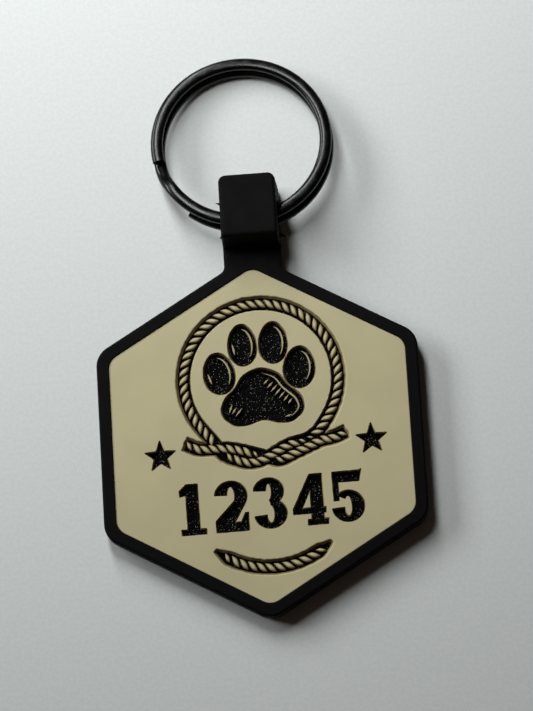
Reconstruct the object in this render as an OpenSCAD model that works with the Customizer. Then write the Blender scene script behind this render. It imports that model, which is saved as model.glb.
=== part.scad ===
// Pet id tag: a two-colour silicone hexagon on a split ring.
// The origin is the middle of the back face, +Y points to the ring, +Z out of the front.

/* [Tag body] */
// Width of the hexagon across its flats
across_flats = 35; // [30:0.5:42]
// Thickness of the hexagon, rim included
body_t = 2.5; // [2.2:0.1:4.5]
// Radius of the hexagon's outer corners
corner_r = 2.4; // [1:0.1:4]
// Width of the rim round the coloured panels
rim_w = 1.37; // [0.8:0.01:2]
// Radius of the panels' corners
panel_corner_r = 1.7; // [0.8:0.1:3]
// Radius of the fillet where the neck meets the hexagon
neck_fillet_r = 0.9; // [0.3:0.1:2]

/* [Panels] */
// Thickness of the coloured layer on each face
panel_t = 0.7; // [0.3:0.05:0.9]
// Depth of the front panel below the rim; the back panel is flush
panel_inset = 0.12; // [0.05:0.01:0.3]

/* [Lug] */
// Width of the neck and of the lug at its foot
lug_w = 6.35; // [5.4:0.05:7.6]
// Width of the lug at its front face
lug_front_w = 6.15; // [5:0.05:7]
// Height of the lug's front face above the back of the tag
lug_h = 6.35; // [6.1:0.05:9]
// Length of the neck, from where the hexagon's sides would meet to the lug's foot
neck_l = 0.72; // [0.6:0.02:2]
// Length of the lug from its foot to its far end
lug_l = 7.35; // [6.5:0.05:9]
// Lean of the lug's near wall over its height
lug_lean = 0.3; // [0.2:0.05:0.9]
// Radius of the lug's edges that run across it
lug_edge_r = 0.7; // [0.3:0.05:1.2]
// Radius of the lug's edges between its front face and its sides
lug_side_r = 0.4; // [0.1:0.05:0.8]
// Radius of the lug's far corners seen from the front
lug_corner_r = 0.85; // [0.3:0.05:1.4]

/* [Ring tunnel] */
// Distance from the lug's foot to the tunnel's axis
tunnel_in = 2.85; // [2.7:0.05:3.6]
// Height of the tunnel's axis above the back of the tag
tunnel_z = 3.45; // [3.2:0.05:4]
// Clearance between the tunnel and the ring's wire as the ring swings
tunnel_gap = 0.22; // [0.15:0.01:0.4]

/* [Split ring] */
// Outer diameter of the ring
ring_d = 20; // [18:0.5:25]
// Width of the flat wire along the ring's radius
wire_w = 1.35; // [1:0.05:1.6]
// Thickness of the flat wire along the ring's axis
wire_t = 1.0; // [0.8:0.05:1.1]
// Gap between the two turns
turn_gap = 0.12; // [0.08:0.01:0.2]
// Shift of the lower turn towards the tag
turn_shift = 0.32; // [0:0.02:0.5]
// Shift of the lower turn to the right of the upper
turn_sway = 0.14; // [0:0.02:0.5]
// Distance of the resting ring's middle to the left of the tag's middle
ring_aside = 0.2; // [0:0.05:0.4]
// Radius of the wire's edges
wire_edge_r = 0.3; // [0.1:0.05:0.35]
// Angle of the upper turn's cut end
upper_end_angle = 191; // [150:1:240]
// Angle taken by the step from the upper turn to the lower
step_angle = 24; // [18:1:36]
// Angle of the lower turn's cut end
lower_end_angle = 230; // [205:1:250]
// Clearance between the resting ring and the table
table_gap = 0.03; // [0.01:0.01:0.1]

/* [Artwork] */
// Clearance between the stars and the sides of the front panel
art_margin = 3.0; // [2.4:0.02:4]
// Shift of the artwork to the right of the tag's middle
art_shift = 0.4; // [-0.6:0.1:0.6]
// Turn of the artwork on the tag
art_turn = 1; // [-3:0.5:3]
// Radius of the rope ring, as a share of the artwork's half width
rope_ring_share = 0.64; // [0.6:0.0001:0.65]
// Height of the rope ring's middle, as a share of the artwork's half width
rope_height_share = 0.4697; // [0.45:0.0001:0.49]
// Width of the rope's engraved band, as a share of the rope ring's radius
rope_band_share = 0.1677; // [0.15:0.0001:0.18]
// Length of one strand, as a share of the band's width
strand_l_share = 0.83; // [0.7:0.001:0.86]
// Width of one strand, as a share of the band's width
strand_w_share = 0.42; // [0.32:0.005:0.44]
// Spacing of the strands, as a share of the band's width
strand_pitch_share = 0.664; // [0.63:0.001:0.75]
// Lean of a strand away from the rope's line
strand_lean = 42; // [30:1:55]
// Height of the paw's main pad, as a share of the rope ring's radius
pad_h_share = 0.7545; // [0.66:0.0005:0.79]
// Width of the paw's main pad, as a share of the rope ring's radius
pad_w_share = 1.0778; // [0.95:0.0001:1.1]
// Length of the toes, as a share of the rope ring's radius
toe_l_share = 0.5509; // [0.48:0.0001:0.57]
// Width of the toes, as a share of the rope ring's radius
toe_w_share = 0.3832; // [0.32:0.0001:0.39]
// Width of the light lines in the paw, as a share of the rope ring's radius
glint_w_share = 0.0228; // [0.018:0.0001:0.03]
// Outer radius of the stars, as a share of the artwork's half width
star_r_share = 0.1288; // [0.08:0.0001:0.15]
// Depth of the stars below the tag's middle, as a share of the artwork's half width
star_y_share = 0.1136; // [0.08:0.0001:0.18]
// Height of the digits, as a share of the artwork's half width
digit_h_share = 0.4167; // [0.35:0.0001:0.44]
// Width of one digit, as a share of its height
digit_w_share = 0.6364; // [0.55:0.0001:0.65]
// Gap between digits, as a share of their height
digit_gap_share = 0.1273; // [0.08:0.0001:0.14]
// Width of the digits' heavy strokes, as a share of their height
stem_w_share = 0.2364; // [0.19:0.0001:0.25]
// Width of the digits' light strokes, as a share of their height
hair_w_share = 0.1; // [0.08:0.005:0.12]
// Depth of the digits' middle below the tag's middle, as a share of the artwork's half width
digit_y_share = 0.5758; // [0.53:0.0001:0.6]
// Radius of the garland under the digits, as a share of the artwork's half width
garland_r_share = 0.7348; // [0.69:0.0001:0.83]
// Depth of the garland's lowest point, as a share of the artwork's half width
garland_y_share = 1.1061; // [1.08:0.0001:1.13]
// Half of the angle that the garland spans
garland_angle = 40; // [30:1:42]

/* [Hidden] */

black = [0.07, 0.07, 0.08];
beige = [0.70, 0.67, 0.54];
steel = [0.05, 0.05, 0.05];

circumradius = across_flats / sqrt(3);
lug_foot_y = circumradius + neck_l;
lug_end_y = lug_foot_y + lug_l;
tunnel_y = lug_foot_y + tunnel_in;
tunnel_sides = 64;
panel_flats = across_flats - 2 * rim_w;
panel_circumradius = panel_flats / sqrt(3);
recess_t = panel_t + panel_inset;
front_floor_z = body_t - recess_t;
overrun = body_t / 3;
corner_steps = 7;

// The artwork keeps its proportions and follows the front panel's width
art_half = panel_flats / 2 - art_margin;
rope_centre_y = art_half * rope_height_share;
rope_ring_r = art_half * rope_ring_share;
rope_band_w = rope_ring_r * rope_band_share;
strand_l = rope_band_w * strand_l_share;
strand_w = rope_band_w * strand_w_share;
strand_pitch = rope_band_w * strand_pitch_share;
pad_h = rope_ring_r * pad_h_share;
pad_w = rope_ring_r * pad_w_share;
toe_l = rope_ring_r * toe_l_share;
toe_w = rope_ring_r * toe_w_share;
glint_w = rope_ring_r * glint_w_share;
star_r = art_half * star_r_share;
star_x = art_half - star_r;
star_y = -art_half * star_y_share;
digit_h = art_half * digit_h_share;
digit_w = digit_h * digit_w_share;
digit_gap = digit_h * digit_gap_share;
stem_w = digit_h * stem_w_share;
hair_w = digit_h * hair_w_share;
digit_y = -art_half * digit_y_share;
garland_r = art_half * garland_r_share;
garland_y = -art_half * garland_y_share;

// The ring's middle line crosses the tunnel's axis plane a little on the tag's side of it,
// so that the wire's bend lies evenly about the axis.
ring_r = ring_d / 2;
ring_mid_r = ring_r - wire_w / 2;
bore_r = ring_r - wire_w;
ring_t = 2 * wire_t + turn_gap;
turn_rise = wire_t + turn_gap;
mouth_half = (lug_w + turn_sway) / 2 + ring_aside;
mouth_bend = bore_r - sqrt(bore_r * bore_r - mouth_half * mouth_half);
wire_shift = mouth_bend / 2;
wire_reach = (wire_w + turn_shift) / 2 + wire_shift;
tunnel_r = norm([wire_reach, ring_t / 2]) + tunnel_gap;
ring_centre_reach = ring_mid_r - wire_shift;
ring_foot_reach = ring_centre_reach + ring_r - turn_shift / 2;
ring_drop_height = tunnel_z - table_gap;
rest_tilt = asin(ring_drop_height / norm([ring_foot_reach, ring_t / 2]))
    - atan2(ring_t / 2, ring_foot_reach);

function unit(v) = v / norm(v);
function flat_turn(a) = a > 180 ? a - 360 : (a < -180 ? a + 360 : a);
function arc(c, rx, ry, a0, a1, n) =
    [for (i = [0:n]) let (a = a0 + (a1 - a0) * i / n) c + [rx * cos(a), ry * sin(a)]];
function corner(p, q, s, r) =
    let (u = unit(p - q), v = unit(s - q), half = acos(u * v) / 2,
        c = q + unit(u + v) * r / sin(half),
        e0 = q + u * r / tan(half) - c, e1 = q + v * r / tan(half) - c,
        a0 = atan2(e0[1], e0[0]), turn = flat_turn(atan2(e1[1], e1[0]) - a0))
    arc(c, r, r, a0, a0 + turn, corner_steps);
function rounded(points, radii) = let (n = len(points))
    [for (i = [0:n - 1])
        each corner(points[(i + n - 1) % n], points[i], points[(i + 1) % n], radii[i])];
function hexagon(reach) = [for (i = [0:5]) reach * [cos(60 * i - 30), sin(60 * i - 30)]];
function spread(shares, size) = [for (p = shares) [p[0] * size[0], p[1] * size[1]]];
function smooth_point(a, b, c, d, t) =
    (2 * b + (c - a) * t + (2 * a - 5 * b + 4 * c - d) * t * t
        + (3 * b - a - 3 * c + d) * t * t * t) / 2;
function smooth_loop(points, n) = let (m = len(points))
    [for (i = [0:m - 1], k = [0:n - 1]) smooth_point(points[(i + m - 1) % m], points[i],
        points[(i + 1) % m], points[(i + 2) % m], k / n)];
function smooth_line(points, n) = let (m = len(points))
    [for (i = [0:m - 2], k = [0:(i == m - 2 ? n : n - 1)])
        smooth_point(points[max(i - 1, 0)], points[i], points[i + 1],
            points[min(i + 2, m - 1)], k / n)];

// A band of changing width along a line, and places spaced evenly along the line
function along(line, i) = unit(line[min(i + 1, len(line) - 1)] - line[max(i - 1, 0)]);
function side(v) = [-v[1], v[0]];
function offset_line(line, d, closed = false) = let (m = len(line))
    [for (i = [0:m - 1]) line[i] + side(closed
        ? unit(line[(i + 1) % m] - line[(i + m - 1) % m]) : along(line, i)) * d[min(i, len(d) - 1)]];
function backwards(list) = [for (i = [len(list) - 1:-1:0]) list[i]];
function sums(line, i = 0, total = 0) = i >= len(line) ? [] : let (
    s = total + (i == 0 ? 0 : norm(line[i] - line[i - 1]))) concat([s], sums(line, i + 1, s));
function place(line, s, total) = let (
    xs = [for (i = [0:len(line) - 1]) [s[i], line[i][0]]],
    ys = [for (i = [0:len(line) - 1]) [s[i], line[i][1]]])
    [lookup(total, xs), lookup(total, ys)];
function places(line, pitch) = let (s = sums(line), total = s[len(s) - 1],
    n = round(total / pitch), step = total / n)
    [for (i = [0:n - 1]) let (at = (i + 0.5) * step, p = place(line, s, at),
        v = place(line, s, min(at + step / 4, total)) - place(line, s, max(at - step / 4, 0)))
        [p[0], p[1], atan2(v[1], v[0])]];

// The rope: a ring whose foot is drawn in, and a loose tie that crosses it three times.
// Both are shares of the rope ring's radius, from the ring's middle.
rope_centre = [0, rope_centre_y];
garland_steps = 36;
// Beyond this distance from the middle line the tie lies over the ring's foot
tie_over_x = rope_ring_r * 0.35;
least_seen_share = 0.4;
end_strand_share = 0.75;
ring_foot_shares = [[-0.68, -0.758], [-0.565, -0.93], [-0.44, -1.01], [-0.251, -1.078],
    [-0.084, -1.07], [0.084, -1.0], [0.304, -0.895], [0.539, -0.84], [0.69, -0.745]];
tie_shares = [[-1.03, -0.775], [-0.86, -0.855], [-0.653, -0.866], [-0.455, -0.885],
    [-0.236, -0.945], [0, -1.03], [0.174, -1.08], [0.359, -1.01], [0.539, -0.94],
    [0.72, -0.87], [0.874, -0.85], [1.04, -0.79]];
ring_foot_start = 218;
ring_foot_end = 321;
loop_line = let (foot = [for (p = ring_foot_shares) rope_centre + p * rope_ring_r],
    bow = arc(rope_centre, rope_ring_r, rope_ring_r, ring_foot_end - 360, ring_foot_start, 56),
    joint = concat([bow[len(bow) - 1]], foot, [bow[0]]),
    foot_line = smooth_line(joint, 4))
    concat(bow, [for (i = [1:len(foot_line) - 2]) foot_line[i]]);
tie_line = smooth_line([for (p = tie_shares) rope_centre + p * rope_ring_r], 4);
garland_line = arc([0, garland_y + garland_r], garland_r, garland_r,
    -90 - garland_angle, -90 + garland_angle, garland_steps);
function fullness_share(i) = min(1, 0.2 + 7 * min(i, garland_steps - i) / garland_steps);

panel_plan = rounded(hexagon(panel_circumradius), [for (i = [0:5]) panel_corner_r]);

module in_artwork() { translate([art_shift, 0, 0]) rotate([0, 0, art_turn]) children(); }
module on_front_floor() { translate([0, 0, front_floor_z]) children(); }
module prism(points, h) { linear_extrude(height = h) polygon(points); }

module strand_shape(size) {
    steps = 14;
    polygon([for (i = [0:steps - 1]) let (a = 360 * i / steps, s = sin(a))
        size * [strand_l / 2 * cos(a), strand_w / 2 * s * pow(abs(s), 0.2) * (1 + 0.25 * sin(2 * a))]]);
}

// Where the other rope passes over, a strand is smaller the more of it is covered
function seen_share(p, line) = let (gap = min([for (q = line) norm([p[0], p[1]] - q)]))
    min(1, (gap - strand_w) / (strand_w * 0.75));
function seen_strands(spots, line, over_side) = [for (p = spots)
    let (size = (abs(p[0]) - tie_over_x) * over_side > 0 ? 1 : seen_share(p, line))
    if (size > least_seen_share) [p[0], p[1], p[2], size]];
function ring_spots() = seen_strands(places(concat(loop_line, [loop_line[0]]), strand_pitch),
    tie_line, -1);
function tie_spots() = seen_strands(places(tie_line, strand_pitch), loop_line, 1);
function garland_spots() = let (all = places(garland_line, strand_pitch))
    [for (i = [1:len(all) - 2]) [all[i][0], all[i][1], all[i][2], 1]];

module strands_shape(spots, end_share = 1) {
    for (i = [0:len(spots) - 1])
        translate([spots[i][0], spots[i][1]]) rotate(spots[i][2] - strand_lean)
            strand_shape(spots[i][3] * (i == 0 || i == len(spots) - 1 ? end_share : 1));
}

module strands(spots, end_share = 1) {
    color(beige) on_front_floor() in_artwork()
        linear_extrude(height = panel_t) strands_shape(spots, end_share);
}

// Engraved shapes, in the artwork's own frame
loop_outer = offset_line(loop_line, [-rope_band_w / 2], true);
loop_inner = offset_line(loop_line, [rope_band_w / 2], true);
function band(line, widths) = concat(offset_line(line, widths),
    backwards(offset_line(line, [for (w = widths) -w])));
tie_band = band(tie_line, [rope_band_w / 2]);
garland_band = band(garland_line,
    [for (i = [0:garland_steps]) fullness_share(i) * rope_band_w / 2]);

pad_shares = [[0, 0.5], [0.2, 0.4], [0.31, 0.2], [0.46, -0.02], [0.49, -0.26],
    [0.36, -0.45], [0.2, -0.47], [0, -0.4], [-0.2, -0.47], [-0.36, -0.45],
    [-0.49, -0.26], [-0.46, -0.02], [-0.31, 0.2], [-0.2, 0.4]];
pad_centre = [0, rope_centre_y - pad_h * 0.32];
pad_outline = smooth_loop([for (p = spread(pad_shares, [pad_w, pad_h])) pad_centre + p], 4);
// Each toe: its place in shares of the rope ring's radius, its lean and its width share
toe_shares = [[-0.53, 0.11, 8, 1.06], [-0.205, 0.462, 2, 0.97],
    [0.195, 0.462, -2, 0.97], [0.51, 0.11, -6, 1.06]];
toe_steps = 28;
function toe_place(t) = rope_centre + [t[0], t[1]] * rope_ring_r;
function egg(l, w) = [for (i = [0:toe_steps - 1]) let (a = 360 * i / toe_steps)
    [w / 2 * cos(a) * (1 - 0.1 * sin(a)), l / 2 * sin(a)]];

module toe(t) {
    translate(toe_place(t)) rotate(t[2]) polygon(egg(toe_l, toe_w * t[3]));
}

module paw_shape() {
    polygon(pad_outline);
    for (t = toe_shares) toe(t);
}

module star_shape() {
    inner_share = 0.42;
    polygon([for (i = [0:9]) star_r * (i % 2 == 0 ? 1 : inner_share)
        * [cos(90 + 36 * i), sin(90 + 36 * i)]]);
}

// Digits, each in a cell whose middle is the origin
dx = digit_w / 2;
dy = digit_h / 2;
bowl_steps = 20;
module bowl(c, rx, ry, a0, a1) {
    polygon(concat(arc(c, rx, ry, a0, a1, bowl_steps),
        arc(c, rx - stem_w, ry - hair_w, a1, a0, bowl_steps)));
}

module block(x0, y0, x1, y1) { translate([x0, y0]) square([x1 - x0, y1 - y0]); }

module digit_one() {
    block(-stem_w / 2, -dy, stem_w / 2, dy);
    block(-dx * 0.75, -dy, dx * 0.75, -dy + hair_w);
    polygon([[0, dy], [-stem_w * 0.5, dy - stem_w * 0.05], [-dx * 0.75, dy - stem_w * 0.5],
        [-dx * 0.75, dy - stem_w * 0.95], [0, dy - stem_w * 0.75]]);
}

module digit_two() {
    top_ry = digit_h * 0.3;
    c = [0, dy - top_ry];
    foot_y = -dy + stem_w * 0.72;
    bowl(c, dx, top_ry, 172, -28);
    polygon([c + [dx * cos(-28), top_ry * sin(-28)], [-dx + stem_w * 1.45, foot_y - hair_w / 3],
        [-dx, foot_y - hair_w / 3], [-dx, foot_y + hair_w / 2],
        c + [(dx - stem_w) * cos(-28), (top_ry - hair_w) * sin(-28)]]);
    block(-dx, -dy, dx, foot_y);
    polygon([[dx - stem_w * 0.65, foot_y - hair_w / 3], [dx - hair_w * 0.55, foot_y + stem_w * 0.75],
        [dx, foot_y + stem_w * 0.75], [dx, foot_y - hair_w / 3]]);
}

module digit_three() {
    top_ry = digit_h * 0.27;
    foot_ry = digit_h * 0.285;
    bowl([-dx * 0.05, dy - top_ry], dx * 0.93, top_ry, 172, -82);
    bowl([0, -dy + foot_ry], dx, foot_ry, 82, -172);
}

four_bar_y = -dy + digit_h * 0.23;
four_stem_x = dx * 0.12;
module four_counter() {
    polygon([[four_stem_x, four_bar_y + hair_w], [four_stem_x, dy - stem_w * 1.25],
        [-dx + hair_w * 1.7, four_bar_y + hair_w]]);
}

module digit_four() {
    difference() {
        union() {
            block(four_stem_x, -dy, four_stem_x + stem_w, dy);
            polygon([[four_stem_x + stem_w / 2, dy], [four_stem_x, dy],
                [-dx, four_bar_y + hair_w], [-dx, four_bar_y], [dx, four_bar_y],
                [dx, four_bar_y + hair_w], [four_stem_x + stem_w / 2, four_bar_y + hair_w]]);
            block(four_stem_x - hair_w * 0.8, -dy, four_stem_x + stem_w + hair_w * 0.8, -dy + hair_w);
        }
        four_counter();
    }
}

module digit_five() {
    foot_ry = digit_h * 0.31;
    neck_x = -dx * 0.85;
    bowl([0, -dy + foot_ry], dx, foot_ry, 132, -172);
    block(neck_x, -dy + foot_ry * 1.4, neck_x + hair_w, dy - hair_w / 2);
    polygon([[neck_x, dy - stem_w * 0.85], [neck_x, dy], [dx * 0.78, dy],
        [dx * 0.92, dy + hair_w / 5], [dx * 0.78, dy - stem_w * 0.85]]);
}

digit_pitch = digit_w + digit_gap;
module at_digit(i) { translate([(i - 2) * digit_pitch, digit_y]) children(); }

module digits_shape() {
    at_digit(0) digit_one();
    at_digit(1) digit_two();
    at_digit(2) digit_three();
    at_digit(3) digit_four();
    at_digit(4) digit_five();
}

// Light lines left standing in the toes and the pad, thinning to both ends
glint_steps = 14;
module glint(line) {
    m = len(line) - 1;
    polygon(concat(line, backwards(offset_line(line,
        [for (i = [0:m]) glint_w * (0.25 + 0.75 * sin(180 * i / m))]))));
}

module stroke(p, l, a) {
    translate(p) rotate(a)
        polygon([[-l / 2, 0], [0, -glint_w / 2], [l / 2, 0], [0, glint_w / 2]]);
}

hatch_count = 7;
pad_rim_in = pad_h * 0.085;
module glints_shape() {
    for (t = toe_shares) translate(toe_place(t)) rotate(t[2])
        glint(arc([0, 0], toe_w * t[3] * 0.36, toe_l * 0.39, -48, 84, glint_steps));
    for (t = [toe_shares[0], toe_shares[1]]) translate(toe_place(t)) rotate(t[2])
        glint(arc([0, 0], toe_w * t[3] * 0.36, toe_l * 0.36, 172, 214, glint_steps));
    glint(backwards([for (i = [1:20]) offset_line(pad_outline, [-pad_rim_in], true)[i]]));
    for (i = [0:hatch_count - 1]) let (f = i / (hatch_count - 1))
        stroke(pad_centre + [pad_w * (0.06 + 0.27 * f), pad_h * (0.26 - 0.37 * f)],
            pad_h * (0.13 + 0.06 * sin(180 * f)), 42 + 8 * f);
    stroke(pad_centre + [-pad_w * 0.385, -pad_h * 0.16], pad_h * 0.18, 66);
    stroke(pad_centre + [-pad_w * 0.345, -pad_h * 0.2], pad_h * 0.15, 52);
    stroke(pad_centre + [-pad_w * 0.29, -pad_h * 0.23], pad_h * 0.2, 48);
    stroke(pad_centre + [pad_w * 0.3, -pad_h * 0.36], pad_h * 0.14, 15);
}

module core_body() {
    stub_x = lug_w / 2;
    shoulder_y = circumradius - stub_x / sqrt(3);
    top = lug_foot_y + lug_lean;
    plan = concat([[circumradius * cos(30), circumradius * sin(30)],
        [stub_x, shoulder_y], [stub_x, top], [-stub_x, top], [-stub_x, shoulder_y]],
        [for (i = [3:6]) let (a = 60 * i - 30) circumradius * [cos(a), sin(a)]]);
    radii = [corner_r, neck_fillet_r, lug_lean / 4, lug_lean / 4, neck_fillet_r,
        corner_r, corner_r, corner_r, corner_r];
    color(black) difference() {
        union() {
            linear_extrude(height = body_t) polygon(rounded(plan, radii));
            lug_block();
        }
        translate([0, 0, front_floor_z]) prism(panel_plan, recess_t + overrun);
        translate([0, 0, -overrun]) prism(panel_plan, panel_t + overrun);
        translate([-lug_w, tunnel_y, tunnel_z]) rotate([0, 90, 0])
            cylinder(r = tunnel_r, h = 2 * lug_w, $fn = tunnel_sides);
    }
}

module lug_block() {
    root_y = lug_foot_y - lug_lean;
    side_plan = rounded([[root_y, 0], [lug_end_y, 0], [lug_end_y, lug_h],
        [lug_foot_y + lug_lean, lug_h], [lug_foot_y, body_t], [root_y, body_t]],
        [lug_lean / 4, lug_edge_r, lug_edge_r, lug_edge_r, lug_lean / 4, lug_lean / 4]);
    end_plan = rounded([[-lug_w / 2, 0], [lug_w / 2, 0], [lug_w / 2, body_t],
        [lug_front_w / 2, lug_h], [-lug_front_w / 2, lug_h], [-lug_w / 2, body_t]],
        [lug_lean / 4, lug_lean / 4, lug_lean / 4, lug_side_r, lug_side_r, lug_lean / 4]);
    intersection() {
        translate([-lug_w, 0, 0]) rotate([90, 0, 90]) prism(side_plan, 2 * lug_w);
        translate([0, lug_end_y + overrun, 0]) rotate([90, 0, 0]) prism(end_plan, lug_end_y);
        prism(rounded([[lug_w / 2, root_y - overrun], [lug_w / 2, lug_end_y],
            [-lug_w / 2, lug_end_y], [-lug_w / 2, root_y - overrun]],
            [lug_lean / 4, lug_corner_r, lug_corner_r, lug_lean / 4]), lug_h);
    }
}

module front_panel() {
    color(beige) on_front_floor() difference() {
        prism(panel_plan, panel_t);
        in_artwork() translate([0, 0, -overrun]) linear_extrude(height = panel_t + 2 * overrun) {
            polygon(loop_outer);
            polygon(tie_band);
            polygon(garland_band);
            for (s = [-1, 1]) translate([s * star_x, star_y]) star_shape();
            digits_shape();
            at_digit(3) four_counter();
        }
    }
}

module front_medallion() {
    color(beige) on_front_floor() in_artwork() difference() {
        prism(loop_inner, panel_t);
        translate([0, 0, -overrun]) linear_extrude(height = panel_t + 2 * overrun) {
            polygon(tie_band);
            paw_shape();
        }
    }
}

module rope_ring_strands() {
    strands(ring_spots());
}

module rope_tie_strands() {
    strands(tie_spots(), end_strand_share);
}

module rope_garland_strands() {
    strands(garland_spots(), end_strand_share);
}

module paw_glints() {
    color(beige) on_front_floor() in_artwork()
        linear_extrude(height = panel_t) glints_shape();
}

module digit_counter() {
    color(beige) on_front_floor() in_artwork()
        linear_extrude(height = panel_t) at_digit(3) four_counter();
}

module back_panel() {
    color(beige) prism(panel_plan, panel_t);
}

// The wire of the split ring, swept from the upper turn's cut end, round once, down the
// step, and on to the lower turn's cut end
ring_sweep = 360 + 360 - (lower_end_angle - upper_end_angle);
ring_stations = 92;
edge_steps = 3;
wire_profile = [for (q = [0:3]) let (x = q == 0 || q == 3 ? 1 : -1, y = q < 2 ? 1 : -1)
    each arc([x * (wire_w / 2 - wire_edge_r), y * (wire_t / 2 - wire_edge_r)],
        wire_edge_r, wire_edge_r, 90 * q, 90 * q + 90, edge_steps)];
function wire_drop(swept) = max(0, min(1, (swept - 360 + step_angle) / step_angle)) - 0.5;
function wire_station(swept) = let (a = upper_end_angle - swept, drop = wire_drop(swept))
    [for (p = wire_profile) let (r = ring_mid_r + p[0])
        [r * cos(a) + turn_sway * drop, r * sin(a) - turn_shift * drop, p[1] - turn_rise * drop]];

module split_ring() {
    m = len(wire_profile);
    points = [for (i = [0:ring_stations]) each wire_station(ring_sweep * i / ring_stations)];
    sides = [for (i = [0:ring_stations - 1], k = [0:m - 1]) let (j = (k + 1) % m)
        each [[i * m + k, i * m + j, (i + 1) * m + k],
            [i * m + j, (i + 1) * m + j, (i + 1) * m + k]]];
    ends = [[for (k = [m - 1:-1:0]) k], [for (k = [0:m - 1]) ring_stations * m + k]];
    color(steel) translate([0, tunnel_y, tunnel_z]) rotate([-rest_tilt, 0, 0])
        translate([-ring_aside, ring_centre_reach, 0])
            polyhedron(points, concat(sides, ends));
}

core_body();
front_panel();
front_medallion();
rope_ring_strands();
rope_tie_strands();
rope_garland_strands();
paw_glints();
digit_counter();
back_panel();
split_ring();
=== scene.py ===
# %% [markdown]
# # A pet's identity tag, dressed for the camera
# The tag is two silicones moulded into one another: a black core with a rim, a neck and a belt loop, and
# a thin sand-coloured layer on each face. A laser has burnt the artwork through the front layer down to
# the black. A black split ring of flat wire hangs in the loop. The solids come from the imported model, and
# this lesson gives them their soft edges, their engraving and their finishes, one step at a time.

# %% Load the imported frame
import math

import bmesh
import bpy
import numpy as np
from mathutils import Matrix, Vector
from mathutils.geometry import delaunay_2d_cdt


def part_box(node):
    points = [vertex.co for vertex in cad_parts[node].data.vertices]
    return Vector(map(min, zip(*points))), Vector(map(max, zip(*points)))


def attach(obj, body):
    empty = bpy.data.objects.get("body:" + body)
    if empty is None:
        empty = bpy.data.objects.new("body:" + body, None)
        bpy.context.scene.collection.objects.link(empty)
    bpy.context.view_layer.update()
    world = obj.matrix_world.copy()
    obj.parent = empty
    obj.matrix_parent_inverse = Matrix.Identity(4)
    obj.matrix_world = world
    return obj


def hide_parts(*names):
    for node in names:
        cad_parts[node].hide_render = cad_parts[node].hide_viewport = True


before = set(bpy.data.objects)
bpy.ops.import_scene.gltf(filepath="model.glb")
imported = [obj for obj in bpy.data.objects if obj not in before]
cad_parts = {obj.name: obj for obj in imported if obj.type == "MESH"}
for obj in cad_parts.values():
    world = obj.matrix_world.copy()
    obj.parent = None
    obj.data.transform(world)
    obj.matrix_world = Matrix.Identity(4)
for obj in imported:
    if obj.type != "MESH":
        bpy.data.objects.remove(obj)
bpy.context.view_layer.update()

scene = bpy.context.scene
MM = 0.001
print("nodes:", ", ".join(sorted(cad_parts)))

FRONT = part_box("front_panel")
PANEL_FLOOR, PANEL_TOP = FRONT[0].z / MM, FRONT[1].z / MM
PANEL_T = PANEL_TOP - PANEL_FLOOR
print("front layer from", round(PANEL_FLOOR, 3), "to", round(PANEL_TOP, 3), "mm above the back")

# %% [markdown]
# ## The camera
# The photograph was taken from in front of the tag and a little towards its foot. A camera that was fitted
# to the six corners of the hexagon and to the ring's ellipse stands nearly 350 mm away, so the lens is
# long. A camera in Blender is placed by its own axes: it looks along its -Z, and +Y is up in the picture.

# %% Place the camera
PICTURE_H, SENSOR_W, FOCAL_PX = 711, 36, 3200
CAMERA_AT = Vector((17.33, -69.62, 340.29)) * MM
CAMERA_LOOKS = Vector((-0.0468, 0.2255, -0.9731)).normalized()
CAMERA_UP = Vector((0.0711, 0.9725, 0.2219))

lens = bpy.data.cameras.new("camera")
lens.sensor_width = SENSOR_W
lens.lens = SENSOR_W * FOCAL_PX / PICTURE_H
lens.clip_start, lens.clip_end = 0.01, 10
camera = bpy.data.objects.new("camera", lens)
scene.collection.objects.link(camera)
side = CAMERA_LOOKS.cross(CAMERA_UP).normalized()
up = side.cross(CAMERA_LOOKS)
turned = Matrix((side, up, -CAMERA_LOOKS)).transposed().to_4x4()
camera.matrix_world = Matrix.Translation(CAMERA_AT) @ turned
scene.camera = camera
print("lens of", round(lens.lens, 1), "mm,", round(CAMERA_AT.length / MM), "mm from the tag")

# %% [markdown]
# ## Tools for finishes
# Every finish on the tag and under it is a small tree of nodes. Pictures could be used instead, but they
# blur up close. These helpers take up the lines that would repeat.

# %% Define the tools for nodes
# The Mix node has sockets for every kind of data, and these are its colour ones
MIX_FIRST, MIX_SECOND, MIX_RESULT = 6, 7, 2


def feed(tree, socket, value):
    """Links an input where the value is a socket, and sets it where it is a number or a colour."""
    if isinstance(value, bpy.types.NodeSocket):
        tree.links.new(value, socket)
    else:
        socket.default_value = (*value, 1) if isinstance(value, tuple) else value


def add_node(tree, kind, inputs=(), **settings):
    node = tree.nodes.new(kind)
    for name, value in settings.items():
        setattr(node, name, value)
    for socket, value in dict(inputs).items():
        feed(tree, node.inputs[socket], value)
    return node


def new_material(name, **sockets):
    material = bpy.data.materials.new(name)
    material.use_nodes = True
    shader = material.node_tree.nodes["Principled BSDF"]
    for socket, value in sockets.items():
        shader.inputs[socket.replace("_", " ")].default_value = value
    return material, material.node_tree, shader


def object_place(tree):
    return add_node(tree, "ShaderNodeTexCoord").outputs["Object"]


def noise(tree, scale, detail):
    inputs = {"Vector": object_place(tree), "Scale": scale, "Detail": detail}
    return add_node(tree, "ShaderNodeTexNoise", inputs).outputs["Fac"]


def map_range(tree, value, low, high, to_low=0.0, to_high=1.0, interpolation="SMOOTHSTEP"):
    inputs = {"Value": value, "From Min": low, "From Max": high, "To Min": to_low, "To Max": to_high}
    return add_node(tree, "ShaderNodeMapRange", inputs, interpolation_type=interpolation).outputs["Result"]


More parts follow.
